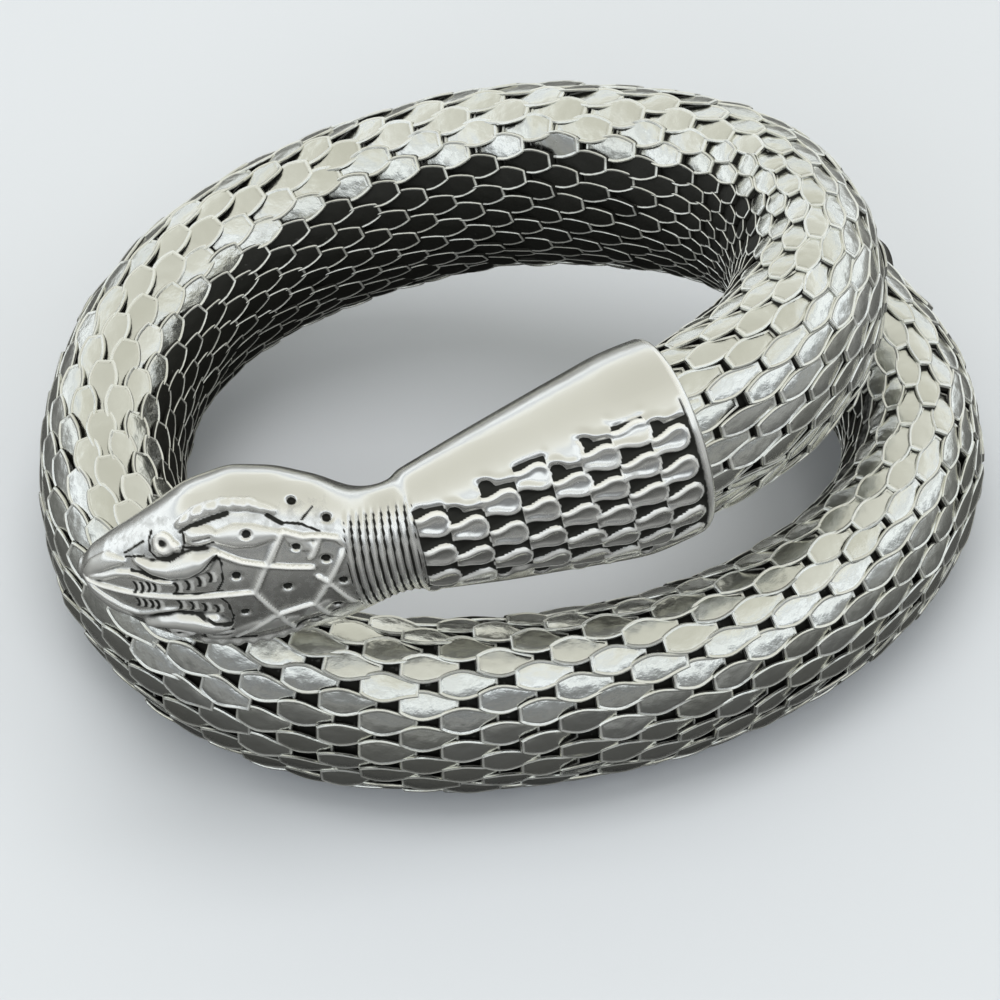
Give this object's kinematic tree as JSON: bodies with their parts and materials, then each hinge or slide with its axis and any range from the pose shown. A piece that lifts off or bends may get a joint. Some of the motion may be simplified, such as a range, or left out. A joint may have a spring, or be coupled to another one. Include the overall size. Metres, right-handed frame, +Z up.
{
  "type": "snake bracelet",
  "caption": "Coiled snake bracelet of oval silver plate mesh tube with a cast snake head and scaled sleeve on one end and a plain cap on the tail.",
  "frame": {"origin": "middle of the bracelet's outline on the surface that it lies on", "axes": "+Z up along the wrist's axis, +X along the loop's long side towards the sleeve's mouth, -Y towards the head side at the front"},
  "size_m": [0.0836, 0.0638, 0.0426],
  "materials": {
    "mesh_plates": "bright silver plated stamped links with dark oxide in the gaps",
    "cast_silver": "polished silver plated casting with blackened recesses",
    "cap_silver": "plain polished silver plate"
  },
  "bodies": {
    "root": {"mesh_body": "mesh_plates", "snake_head": "cast_silver", "tail_cap": "cap_silver"}
  },
  "joints": []
}
